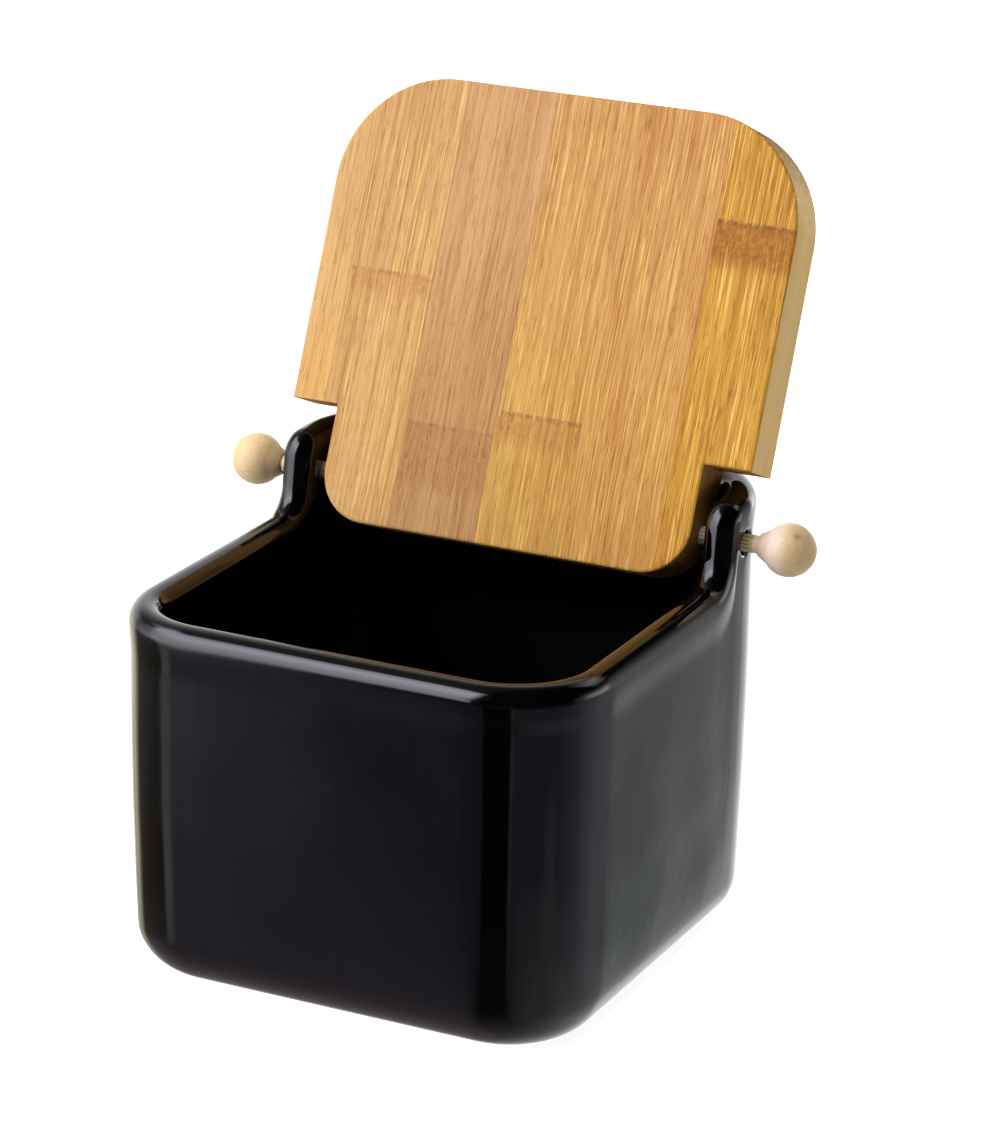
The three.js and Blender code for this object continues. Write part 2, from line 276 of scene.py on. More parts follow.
def wall_x(y, z, inner):
    """How far out the wall's face stands at (y, z), beside an ear hole."""
    crest = crest_height(y)
    inset = cavity_inset(z, crest) if inner else wall_inset(z, crest)
    if y <= CORNER_Y:
        return HALF_WIDTH - inset
    r = CORNER_RADIUS - inset
    return CORNER_X + math.sqrt(r * r - (y - CORNER_Y) ** 2)


def patch_loop(columns, stride, low, high):
    """Vertices round a rectangular patch of the wall's grid, starting at its low first corner."""
    step = 1 if high > low else -1
    loop = [i * stride + low for i in columns]
    loop += [columns[-1] * stride + j for j in range(low + step, high + step, step)]
    loop += [i * stride + high for i in reversed(columns[:-1])]
    loop += [columns[0] * stride + j for j in range(high - step, low, -step)]
    return loop


def bowl_mesh():
    """Points and faces of the whole bowl, its ear holes cut through and their lips rounded."""
    ring = outline()
    rows = [section(i, ring) for i in range(len(ring))]
    n, m = len(rows), len(rows[0])
    points = [p for row in rows for p in row]
    outer_first = 2 + (BASE_STEPS + 1) + WALL_RINGS - 1
    inner_first = outer_first + len(NEAR_RIM) + RIM_STEPS + 1
    j0, j1 = HOLE_PATCH_RINGS
    outer_j = (outer_first + j0, outer_first + j1)
    last = len(NEAR_RIM) - 1
    inner_j = (inner_first + last - j1, inner_first + last - j0)
    inside = [HOLE_PATCH_Y[0] <= r[1] <= HOLE_PATCH_Y[1] for r in ring]
    faces = []
    for i in range(n):
        b = (i + 1) % n
        cut = inside[i] and inside[b]
        for j in range(m - 1):
            if cut and (outer_j[0] <= j < outer_j[1] or inner_j[0] <= j < inner_j[1]):
                continue
            faces.append((i * m + j, b * m + j, b * m + j + 1, i * m + j + 1))
    bottom, floor = len(points), len(points) + 1
    points += [Vector((0, 0, 0)), Vector((0, 0, FLOOR_Z))]
    for i in range(n):
        b = (i + 1) % n
        faces.append((bottom, b * m, i * m))
        faces.append((floor, i * m + m - 1, b * m + m - 1))
    for side in (1, -1):
        cols = [i for i in range(n) if inside[i] and ring[i][0] * side > 0]
        loops = [patch_loop(cols, m, *outer_j), patch_loop(cols, m, *reversed(inner_j))]
        found = [[math.atan2(points[v].z - AXIS.z, points[v].y - AXIS.y) for v in loop]
                 for loop in loops]
        count = len(loops[0])
        swept = sum(math.sin(found[0][(k + 1) % count] - found[0][k]) for k in range(count))
        turn = math.copysign(2 * math.pi / count, swept)
        off = [math.remainder(a - found[0][0] - turn * k, 2 * math.pi)
               for k, a in enumerate(found[0])]
        even = [found[0][0] + sum(off) / count + turn * k for k in range(count)]
        tube = []
        for inner, loop, angles in zip((False, True), loops, found):
            chain = [loop]
            for step in (0.3, 0.6, 0.82, 1.0):
                start = len(points)
                for k, v in enumerate(loop):
                    p = points[v]
                    away = math.hypot(p.y - AXIS.y, p.z - AXIS.z)
                    r = away + (HOLE_RADIUS + HOLE_EASE - away) * step
                    a = angles[k] + math.remainder(even[k] - angles[k], 2 * math.pi) * step
                    y, z = AXIS.y + r * math.cos(a), AXIS.z + r * math.sin(a)
                    points.append(Vector((side * wall_x(y, z, inner), y, z)))
                chain.append(list(range(start, start + count)))
            for q in (15, 35, 60, 90):
                f = math.radians(q)
                start = len(points)
                r = HOLE_RADIUS + HOLE_EASE * (1 - math.sin(f))
                depth = HOLE_EASE * (1 - math.cos(f)) * (1 if inner else -1)
                for k in range(count):
                    y, z = AXIS.y + r * math.cos(even[k]), AXIS.z + r * math.sin(even[k])
                    points.append(Vector((side * (wall_x(y, z, inner) + depth), y, z)))
                chain.append(list(range(start, start + count)))
            tube.append(chain)
        for k in (0.25, 0.5, 0.75):
            start = len(points)
            for a, b in zip(tube[0][-1], tube[1][-1]):
                points.append(points[a].lerp(points[b], k))
            tube[0].append(list(range(start, start + count)))
        chain = tube[0] + tube[1][::-1]
        for a, b in zip(chain, chain[1:]):
            for k in range(count):
                q = (k + 1) % count
                faces.append((a[k], a[q], b[q], b[k]))
    return points, faces


def waver(p):
    """Slow unevenness of a slip-cast, dipped wall, and its soft turn into the rear corners, in mm."""
    slow = noise.noise(Vector((p.x, p.y, p.z * 0.6)) / 26 + Vector((3.1, 7.7, 1.9)))
    quick = noise.noise(Vector((p.x, p.y, p.z * 0.8)) / 10 + Vector((11.3, 2.7, 5.1)))
    below = min(1, max(0, (FRONT_RIM - 4 - p.z) / 14))
    uneven = (SLOW_WAVER[0] + SLOW_WAVER[1] * below) * slow
    uneven += (QUICK_WAVER[0] + QUICK_WAVER[1] * below) * quick
    most_y = CORNER_Y + 9
    rear = smooth_step(p.y, CORNER_Y - 5, most_y) * (1 - smooth_step(p.y, most_y, HALF_DEPTH))
    rear *= 1 - smooth_step(p.z, EAR_TOP - 13, EAR_TOP - 3)
    return uneven - REAR_SOFTENING * rear


def build_bowl(material):
    points, faces = bowl_mesh()
    obj = make_object("bowl_glazed_body", points, faces, material)
    mesh = obj.data
    bm = bmesh.new()
    bm.from_mesh(mesh)
    bmesh.ops.recalc_face_normals(bm, faces=bm.faces)
    bm.normal_update()
    for v in bm.verts:
        p = v.co / MM
        hold = min(1, max(0, (p.z - 1) / 12))            # the foot stays flat
        near = math.hypot(p.y - AXIS.y, p.z - AXIS.z)
        hold *= min(1, max(0.1, (near - 4) / 6))         # the ear holes stay round
        v.co += v.normal * (waver(p) * hold * MM)
    bm.to_mesh(mesh)
    bm.free()
    smooth = obj.modifiers.new("smooth", "SUBSURF")
    smooth.levels = 1
    smooth.render_levels = 1
    attach(obj, "bowl", "glazed_ceramic", "bowl")
    return obj


# ---------------------------------------------------------------- lid
def arc(cx, cy, r, a0, a1, steps):
    """Points on an arc from angle a0 to a1, in degrees."""
    return [(cx + r * math.cos(math.radians(a0 + (a1 - a0) * k / steps)),
             cy + r * math.sin(math.radians(a0 + (a1 - a0) * k / steps))) for k in range(steps + 1)]


def lid_outline():
    """The closed lid seen from above: wide board, two square notches, and the tongue behind."""
    w, t = LID_HALF_WIDTH, TONGUE_HALF_WIDTH
    f, r = -LID_REACH, LID_FRONT_RADIUS
    s, e, q = -NOTCH_REACH, TONGUE_REACH, TONGUE_RADIUS
    points = arc(-w + r, f + r, r, 180, 270, 28) + arc(w - r, f + r, r, 270, 360, 28)
    points += [(w, s), (t, s)]
    points += arc(t - q, e - q, q, 0, 90, 18) + arc(-t + q, e - q, q, 90, 180, 18)
    points += [(-t, s), (-w, s)]
    return points


def shrink(points, distance):
    """The outline moved inwards by a distance, mitred at its corners."""
    n = len(points)
    moved = []
    for i, (x, y) in enumerate(points):
        ax, ay = x - points[i - 1][0], y - points[i - 1][1]
        bx, by = points[(i + 1) % n][0] - x, points[(i + 1) % n][1] - y
        la, lb = math.hypot(ax, ay), math.hypot(bx, by)
        nx1, ny1, nx2, ny2 = -ay / la, ax / la, -by / lb, bx / lb
        k = distance / (1 + nx1 * nx2 + ny1 * ny2)
        moved.append((x + (nx1 + nx2) * k, y + (ny1 + ny2) * k))
    return moved


def build_lid(material):
    line = lid_outline()
    n = len(line)
    flat = 0.4               # a narrow flat beside each eased edge keeps its shading crisp
    levels = [(LID_EASE + flat, -LID_BELOW)]
    ease_steps = 4
    for k in range(ease_steps + 1):
        a = math.pi / 2 * k / ease_steps
        levels.append((LID_EASE * (1 - math.sin(a)), -LID_BELOW + LID_EASE * (1 - math.cos(a))))
    levels.append((0, -LID_BELOW + LID_EASE + flat))
    middle = (LID_ABOVE - LID_BELOW) / 2
    levels += [(inset, 2 * middle - z) for inset, z in reversed(levels)]
    points = []
    for inset, z in levels:
        points += [(x, y, z) for x, y in (shrink(line, inset) if inset else line)]
    faces = []
    for k in range(len(levels) - 1):
        for i in range(n):
            j = (i + 1) % n
            faces.append((k * n + i, k * n + j, (k + 1) * n + j, (k + 1) * n + i))
    faces.append(tuple(range(n - 1, -1, -1)))
    faces.append(tuple((len(levels) - 1) * n + i for i in range(n)))
    obj = make_object("lid_bamboo_board", points, faces, material)
    for side in (-1, 1):
        cut = cylinder_mesh("socket_cutter", SOCKET_RADIUS, side * (TONGUE_HALF_WIDTH - SOCKET_DEPTH),
                            side * (TONGUE_HALF_WIDTH + 4))
        bore = obj.modifiers.new("socket", "BOOLEAN")
        bore.operation = "DIFFERENCE"
        bore.solver = "EXACT"
        bore.object = cut
        apply_modifiers(obj)
        bpy.data.objects.remove(cut)
    obj.data.set_sharp_from_angle(angle=math.radians(50))
    obj.matrix_world = lid_frame()
    attach(obj, "lid", "bamboo", "lid")
    return obj


def lid_frame():
    """Where the closed lid's own axes stand in the open rest pose."""
    return Matrix.Translation(AXIS * MM) @ Matrix.Rotation(-LEAN, 4, "X")


def apply_modifiers(obj):
    """Keep what an object's modifiers make as its own mesh."""
    shape = obj.evaluated_get(bpy.context.evaluated_depsgraph_get())
    mesh = bpy.data.meshes.new_from_object(shape)
    old = obj.data
    name = old.name
    obj.modifiers.clear()
    obj.data = mesh
    bpy.data.meshes.remove(old)
    mesh.name = name


def cylinder_mesh(name, radius, x0, x1, segments=64):
    """A closed cylinder along X that only cuts other shapes."""
    points, faces = [], []
    for x in (min(x0, x1), max(x0, x1)):
        for k in range(segments):
            a = 2 * math.pi * k / segments
            points.append((x, radius * math.cos(a), radius * math.sin(a)))
    for k in range(segments):
        j = (k + 1) % segments
        faces.append((k, j, segments + j, segments + k))
    faces.append(tuple(range(segments - 1, -1, -1)))
    faces.append(tuple(range(segments, 2 * segments)))
    mesh = bpy.data.meshes.new(name)
    mesh.from_pydata([Vector(p) * MM for p in points], [], faces)
    obj = bpy.data.objects.new(name, mesh)
    bpy.context.scene.collection.objects.link(obj)
    obj.hide_render = True
    return obj


# ---------------------------------------------------------------- dowels and knobs
def turned(profile, segments, radius_at=None):
    """Points and faces of a shape turned about X; profile is (x, radius) from one pole to the other."""
    points, faces = [(profile[0][0], 0, 0)], []
    for x, r in profile[1:-1]:
        for k in range(segments):
            a = 2 * math.pi * k / segments
            q = r if radius_at is None else radius_at(x, r, a)
            points.append((x, q * math.cos(a), q * math.sin(a)))
    points.append((profile[-1][0], 0, 0))
    last = len(points) - 1
    rows = len(profile) - 2
    for k in range(segments):
        j = (k + 1) % segments
        faces.append((0, 1 + j, 1 + k))
        for i in range(rows - 1):
            a, b = 1 + i * segments, 1 + (i + 1) * segments
            faces.append((a + k, a + j, b + j, b + k))
        faces.append((last, 1 + (rows - 1) * segments + k, 1 + (rows - 1) * segments + j))
    return points, faces


def build_dowel(side, material):
    chamfer = 0.35
    fade_length = 0.5        # the flutes run out over this length

    def fluted(x, r, a):
        if x > FLUTED_TO or r < DOWEL_RADIUS - 0.01:
            return r
        wave = 0.5 + 0.5 * math.cos(FLUTES * a)
        fade = min(1, (FLUTED_TO - x) / fade_length)
        return r - FLUTE_DEPTH * wave ** 3 * fade

    stations = [DOWEL_FROM + chamfer + (FLUTED_TO - DOWEL_FROM - chamfer) * k / 12 for k in range(13)]
    stations.insert(12, FLUTED_TO - fade_length)
    profile = [(DOWEL_FROM, 0), (DOWEL_FROM, DOWEL_RADIUS - chamfer)]
    profile += [(x, DOWEL_RADIUS) for x in stations]
    profile += [(DOWEL_TO - chamfer, DOWEL_RADIUS), (DOWEL_TO, DOWEL_RADIUS - chamfer), (DOWEL_TO, 0)]
    points, faces = turned(profile, FLUTES * 10, fluted)
    name = "right" if side > 0 else "left"
    obj = make_object(name + "_fluted_dowel", points, faces, material)
    obj.data.set_sharp_from_angle(angle=math.radians(35))
    place_turned(obj, side)
    attach(obj, "lid", "dowel_wood", name + "_pivot_dowel")
    return obj


def build_knob(side, material):
    r = SOCKET_RADIUS
    ease = 0.25
    unround = 0.05           # how far the hand-turned ball strays from a true sphere
    profile = [(KNOB_SOCKET, 0), (KNOB_SOCKET, r), (KNOB_MOUTH + ease, r), (KNOB_MOUTH, r + ease * 0.6)]
    profile.append((KNOB_MOUTH + ease * 0.3, KNOB_MOUTH_RADIUS))
    flare = 38               # degrees from the mouth's pole at which the ball begins
    steps = 44
    for k in range(1, steps + 1):
        a = math.radians(flare + (180 - flare) * k / steps)
        profile.append((KNOB_CENTRE - KNOB_RADIUS * math.cos(a), KNOB_RADIUS * math.sin(a)))
    profile[-1] = (KNOB_OUT, 0)

    def turned_by_eye(x, radius, a):
        if radius < KNOB_MOUTH_RADIUS + 0.2:
            return radius
        p = Vector((x, radius * math.cos(a), radius * math.sin(a))) / 4 + Vector((side * 5.0, 1.3, 2.9))
        return radius - unround - unround * noise.noise(p)

    points, faces = turned(profile, 72, turned_by_eye)
    name = "right" if side > 0 else "left"
    obj = make_object(name + "_ball_knob", points, faces, material)
    obj.data.set_sharp_from_angle(angle=math.radians(50))
    place_turned(obj, side)
    attach(obj, "lid", "knob_wood", name + "_knob")
    return obj


def place_turned(obj, side):
    """Stand a part turned along +X on its side of the open lid."""
    turn = Matrix.Rotation(math.pi, 4, "Z") if side < 0 else Matrix.Identity(4)
    obj.matrix_world = lid_frame() @ turn


# ---------------------------------------------------------------- materials
def linear(red, green, blue):
    """A colour given as 0-255 display values, in linear light."""
    parts = [v / 255 for v in (red, green, blue)]
    return tuple(v / 12.92 if v <= 0.04045 else ((v + 0.055) / 1.055) ** 2.4 for v in parts)


class Graph:
    """Short names for making the nodes of one material or world."""

    def __init__(self, tree):
        self.tree = tree

    def put(self, node, socket, value):
        target = node.inputs[socket]
        if isinstance(value, bpy.types.NodeSocket):
            self.tree.links.new(value, target)
        elif target.type == "RGBA" and len(value) == 3:
            target.default_value = (*value, 1)
        else:
            target.default_value = value

    def node(self, kind, inputs=(), **settings):
        made = self.tree.nodes.new(kind)
        for key, value in settings.items():
            setattr(made, key, value)
        for socket, value in dict(inputs).items():
            self.put(made, socket, value)
        return made

    def math(self, operation, a, b=0.0, c=0.0):
        """One math node; values that the operation leaves unused stay 0."""
        return self.node("ShaderNodeMath", {0: a, 1: b, 2: c}, operation=operation).outputs[0]

    def ease(self, value, low, high, start=0.0, end=1.0):
        """A smooth step from start, where the value is low, to end, where it is high."""
        made = self.node("ShaderNodeMapRange", {0: value, 1: low, 2: high, 3: start, 4: end},
                         interpolation_type="SMOOTHSTEP")
        return made.outputs[0]

    def times(self, *values):
        product = values[0]
        for value in values[1:]:
            product = self.math("MULTIPLY", product, value)
        return product

    def mix(self, factor, a, b, blend="MIX"):
        made = self.node("ShaderNodeMix", data_type="RGBA", blend_type=blend)
        for socket, value in ((0, factor), (6, a), (7, b)):
            self.put(made, socket, value)
        return made.outputs[2]

    def ramp(self, value, stops, interpolation="LINEAR"):
        made = self.node("ShaderNodeValToRGB", {0: value})
        made.color_ramp.interpolation = interpolation
        elements = made.color_ramp.elements
        while len(elements) < len(stops):
            elements.new(1.0)
        for element, (at, _) in zip(elements, stops):
            element.position = at
        for element, (_, colour) in zip(elements, stops):
            element.color = (*colour, 1) if isinstance(colour, tuple) else (colour, colour, colour, 1)
        return made.outputs[0]

    def stretch(self, vector, factors, shift=(0, 0, 0)):
        made = self.node("ShaderNodeVectorMath", {0: vector, 1: factors, 2: shift},
                         operation="MULTIPLY_ADD")
        return made.outputs[0]

    def noise(self, vector, scale=1.0, detail=2.0, rough=0.5, warp=0.0):
        made = self.node("ShaderNodeTexNoise", {"Vector": vector, "Scale": scale, "Detail": detail,
                                                "Roughness": rough, "Distortion": warp})
        return made.outputs["Fac"]

    def bump(self, height, distance, strength):
        made = self.node("ShaderNodeBump", {"Height": height, "Distance": distance, "Strength": strength})
        return made.outputs["Normal"]


def new_material(name, **constants):
    """A material: itself, graph, Principled shader, object coordinates in millimetres, and normal."""
    material = bpy.data.materials.new(name)
    material.use_nodes = True
    graph = Graph(material.node_tree)
    shader = material.node_tree.nodes["Principled BSDF"]
    for socket, value in constants.items():
        shader.inputs[socket.replace("_", " ")].default_value = value
    where = graph.node("ShaderNodeTexCoord")
    here = graph.stretch(where.outputs["Object"], (1 / MM, 1 / MM, 1 / MM))
    return material, graph, shader, here, where.outputs["Normal"]


def split(graph, vector):
    """The X, Y and Z of a vector."""
    return graph.node("ShaderNodeSeparateXYZ", {0: vector}).outputs


# Black glaze, wiped off the foot. Roughness and tones run from the clean glaze to the marked one.
GLAZE_TONES = [(0.35, (0.0005, 0.0004, 0.0006)), (0.7, (0.0011, 0.0008, 0.0009))]
GLAZE_ROUGHNESS = (0.008, 0.030)
PIT_ROUGHNESS = 0.3
CLAY_TONES = [(0.35, linear(172, 160, 140)), (0.62, linear(196, 186, 168)), (0.8, linear(212, 203, 188))]
CLAY_ROUGHNESS = 0.85
FOOT_LINE = 0.55             # glaze is wiped off below this height
CAVITY_ROUGHNESS = 0.32      # the thinner, duller glaze low in the cavity
CAVITY_REACH = (48.0, 49.5)  # the cavity lies within this distance of the bowl's middle, in X and Y
GLAZE_RELIEF = 0.00006       # metres
GLAZE_RELIEF_SHARE = 0.3


def glaze_material():
    material, g, shader, here, _ = new_material("black_glaze", IOR=1.5)
    across, along, height = split(g, here)
    grain = g.noise(here, 1.6, 4, 0.6)
    cloud = g.noise(here, 0.05, 3)
    wiped = g.ease(g.math("ADD", height, g.math("MULTIPLY", g.noise(here, 0.4), 0.5)),
                   FOOT_LINE + 0.45, FOOT_LINE + 0.05)
    g.put(shader, "Base Color", g.mix(wiped, g.ramp(cloud, GLAZE_TONES), g.ramp(grain, CLAY_TONES)))
    pins = g.node("ShaderNodeTexVoronoi", {"Vector": here, "Scale": 0.16, "Randomness": 1.0})
    pit = g.ease(pins.outputs["Distance"], 0.035, 0.012)
    patches = g.noise(g.stretch(here, (0.09, 0.09, 0.05), (4.0, 9.0, 2.0)), 1.0, 4, 0.6)
    smear = g.ease(patches, 0.45, 0.8, *GLAZE_ROUGHNESS)
    rough = g.math("ADD", smear, g.math("MULTIPLY", pit, PIT_ROUGHNESS))
    inner, outer = CAVITY_REACH
    within = g.times(g.ease(g.math("ABSOLUTE", across), outer, inner),
                     g.ease(g.math("ABSOLUTE", along), outer, inner),
                     g.ease(height, FRONT_RIM - 6, FRONT_RIM - 30), g.ease(height, FLOOR_Z - 2, FLOOR_Z - 1))
    rough = g.math("MAXIMUM", rough, g.math("MULTIPLY", within, CAVITY_ROUGHNESS))
    g.put(shader, "Roughness", g.math("MAXIMUM", rough, g.math("MULTIPLY", wiped, CLAY_ROUGHNESS)))
    peel = g.noise(here, 0.45, 1)
    lumps = g.noise(here, 0.12, 2)
    relief = g.math("ADD", g.math("MULTIPLY", peel, 0.10), lumps)
    relief = g.math("ADD", relief, g.math("MULTIPLY", pit, -0.5))
    relief = g.math("ADD", relief, g.times(wiped, grain, 0.6))
    g.put(shader, "Normal", g.bump(relief, GLAZE_RELIEF, GLAZE_RELIEF_SHARE))
    return material


# Bamboo: strips run along the lid's own Y, from the tongue (+) to the front edge (-). Each list below
# gives the strips' values from -X to +X, and STRIP_JOINTS says where they meet.
BOARD_SPAN = 120.0
STRIP_JOINTS = (-46.6, -26.3, -5.3, 14.8, 36.2)
STRIP_TINTS = [((231, 186, 133), (228, 182, 126)), ((227, 180, 125), (217, 173, 126)),
               ((227, 179, 133), (197, 152, 111)), ((228, 178, 115), (211, 165, 95)),
               ((222, 168, 104), (206, 156, 90)), ((220, 166, 63), (208, 157, 61))]  # front, tongue end
# FRONT_GAIN and BACK_GAIN turn the listed tints into the board's colours. BACK_GAIN is higher, so the tongue
# end is painted lighter against the front: part of the change along the board is painted light.
FRONT_GAIN = (0.745, 0.76, 0.58)
BACK_GAIN = (0.90, 0.925, 0.60)
STREAK_DEPTH = (0.80, 0.95, 0.85, 1.0, 1.05, 1.25)
DEEPEST_STREAK = 2.0         # a ramp holds values up to 1, so depths are stored as shares of this
PALE_STREAKS = (0.45, 0.70, 0.03, 0.70, 0.75, 0.95)
STRIP_SHIFTS = (0.07, 0.63, 0.29, 0.91, 0.47, 0.77)
SHIFT_SPAN = 90              # how far apart in the noise the strips lie
PALE_FIBRE = linear(252, 212, 118)
# Knuckles: range in X, range in Y, colour, how strong, how soft the tongue-side end, edge line
KNUCKLES = [((-46.6, -26.3), (-45.0, -40.0), (178, 124, 66), 0.42, 2.0, 0.30),
            ((-26.3, -5.3), (-13.5, 0.0), (160, 108, 62), 0.50, 2.5, 0.15),
            ((-5.3, 14.8), (-18.7, -12.0), (168, 114, 48), 0.55, 2.0, 0.60),
            ((36.2, 54.8), (-66.2, -56.5), (150, 92, 12), 0.95, 2.5, 0.9)]
KNUCKLE_SPECKS = linear(128, 84, 40)
KNUCKLE_LINE = linear(122, 78, 36)
GLUE_LINE = linear(140, 92, 48)
# The board's sides facing X: the outer sides keep a pale tone brightened by painted light, and the tongue's
# sides are painted shade.
SIDE_TONE_AND_PAINTED_LIGHT = linear(237, 201, 125)
TONGUE_SIDE_PAINTED_SHADE = linear(150, 104, 52)
END_GRAIN = linear(112, 68, 32)
BOARD_RELIEF = 0.00010       # metres


def gained(tint, gain):
    return tuple(v * k for v, k in zip(linear(*tint), gain))


def strip_stops(values):
    """Ramp stops that give each strip of the board its own value."""
    edges = (-BOARD_SPAN / 2, *STRIP_JOINTS)
    return [(edge / BOARD_SPAN + 0.5, value) for edge, value in zip(edges, values)]


def bamboo_material():
    material, g, shader, here, normal = new_material("bamboo", IOR=1.45, Specular_IOR_Level=0.2)
    x, y, z = split(g, here)
    across = g.math("MULTIPLY_ADD", x, 1 / BOARD_SPAN, 0.5)

    def by_strip(values):
        return g.ramp(across, strip_stops(values), "CONSTANT")

    front = by_strip([gained(pair[0], FRONT_GAIN) for pair in STRIP_TINTS])
    back = by_strip([gained(pair[1], BACK_GAIN) for pair in STRIP_TINTS])
    depth = g.math("MULTIPLY", by_strip([v / DEEPEST_STREAK for v in STREAK_DEPTH]), DEEPEST_STREAK)
    own = g.math("MULTIPLY", by_strip(STRIP_SHIFTS), SHIFT_SPAN)
    away = g.node("ShaderNodeCombineXYZ", {0: own, 1: own, 2: own}).outputs[0]
    wander = g.math("MULTIPLY_ADD", g.noise(g.stretch(here, (0.02, 0.02, 0.02)), 1.0), 1.6, x)
    bent = g.node("ShaderNodeCombineXYZ", {0: wander, 1: y, 2: z}).outputs[0]

    def fibres(fine, long, detail):
        return g.noise(g.stretch(bent, (fine, long, fine), away), 1.0, detail, 0.55)

    threads = fibres(2.7, 0.035, 2)
    bundles = fibres(1.1, 0.016, 2)
    bands = fibres(0.22, 0.006, 1)
    dashes = fibres(2.6, 0.22, 2)
    # From the front tints to the tongue-end tints; this change is partly painted light.
    colour = g.mix(g.ease(y, -80, 0), front, back)
    for fibre, low, high, amount, tint in ((bands, 0.42, 0.66, 0.40, (0.86, 0.78, 0.66)),
                                           (bundles, 0.45, 0.66, 0.55, (0.78, 0.66, 0.48)),
                                           (threads, 0.50, 0.62, 0.60, (0.74, 0.60, 0.40)),
                                           (dashes, 0.54, 0.68, 0.62, (0.62, 0.47, 0.33))):
        colour = g.mix(g.times(g.ease(fibre, low, high), amount, depth), colour, tint, "MULTIPLY")
    broken = g.ease(fibres(1.6, 0.10, 1), 0.62, 0.42)
    light = g.times(g.ease(threads, 0.47, 0.37), broken, by_strip(PALE_STREAKS), 0.55)
    colour = g.mix(light, colour, PALE_FIBRE)
    mottle = g.noise(g.stretch(here, (1.1, 0.7, 1.1), (3, 5, 8)), 1.0, 4, 0.75)
    for (x0, x1), (y0, y1), tint, strong, soft, edge in KNUCKLES:
        within = g.times(g.ease(x, x0, x0 + 0.4), g.ease(x, x1, x1 - 0.4))
        ragged = g.math("MULTIPLY_ADD", mottle, 3.0, g.math("ADD", y, -1.5))
        inside = g.times(within, g.ease(y, y0 - 0.3, y0 + 0.6), g.ease(ragged, y1 + soft, y1 - soft))
        stain = g.times(inside, strong, g.ease(mottle, 0.3, 0.62, 0.35, 1.0))
        colour = g.mix(stain, colour, linear(*tint))
        specks = g.times(inside, g.ease(dashes, 0.50, 0.62), g.ease(mottle, 0.42, 0.6))
        colour = g.mix(g.math("MULTIPLY", specks, 0.55), colour, KNUCKLE_SPECKS)
        line = g.times(within, g.ease(y, y0 - 0.4, y0 + 0.2), g.ease(y, y0 + 1.5, y0 + 0.2),
                       g.ease(mottle, 0.40, 0.58))
        colour = g.mix(g.times(line, edge), colour, KNUCKLE_LINE)
    nearest = 100.0
    for joint in STRIP_JOINTS:
        gap = g.math("ABSOLUTE", g.math("SUBTRACT", x, joint))
        nearest = g.math("MINIMUM", gap, nearest)
    glue = g.ease(nearest, 0.42, 0.12)
    colour = g.mix(g.math("MULTIPLY", glue, 0.16), colour, GLUE_LINE)
    facing = split(g, normal)
    side = g.ease(g.math("ABSOLUTE", facing[0]), 0.75, 0.95)
    end = g.ease(g.math("ABSOLUTE", facing[1]), 0.6, 0.95)
    outer = g.ease(g.math("ABSOLUTE", x), TONGUE_HALF_WIDTH + 1, TONGUE_HALF_WIDTH + 3)
    # Painted light on the outer sides over their pale tone, painted shade on the tongue's sides.
    side_tone_light_and_shade = g.mix(outer, TONGUE_SIDE_PAINTED_SHADE, SIDE_TONE_AND_PAINTED_LIGHT)
    colour = g.mix(g.math("MULTIPLY", side, 0.75), colour, side_tone_light_and_shade)
    pores = fibres(1.7, 0.03, 3)
    colour = g.mix(g.times(end, g.ease(pores, 0.40, 0.66, 0.35, 1.0), 0.75), colour, END_GRAIN)
    g.put(shader, "Base Color", colour)
    polish = g.ease(bundles, 0.3, 0.7, 0.44, 0.60)
    g.put(shader, "Roughness", g.math("ADD", polish, g.math("MULTIPLY", end, 0.2)))
    relief = g.math("MULTIPLY_ADD", dashes, -0.7, g.math("MULTIPLY", threads, -0.6))
    relief = g.math("MULTIPLY_ADD", glue, -0.5, relief)
    g.put(shader, "Normal", g.bump(relief, BOARD_RELIEF, 0.8))
    return material


# Beech balls. Each is made of a pale and a tan half, which meet at split_at along its own X. On the right
# ball the tan outer half is partly painted shade.
KNOT_AT = (66.5, -2.9, -4.2)
KNOT = linear(150, 112, 66)
GROWTH_TINT = (0.62, 0.46, 0.30)
PORE_TINT = (0.55, 0.42, 0.28)
KNOB_RELIEF = 0.00010        # metres


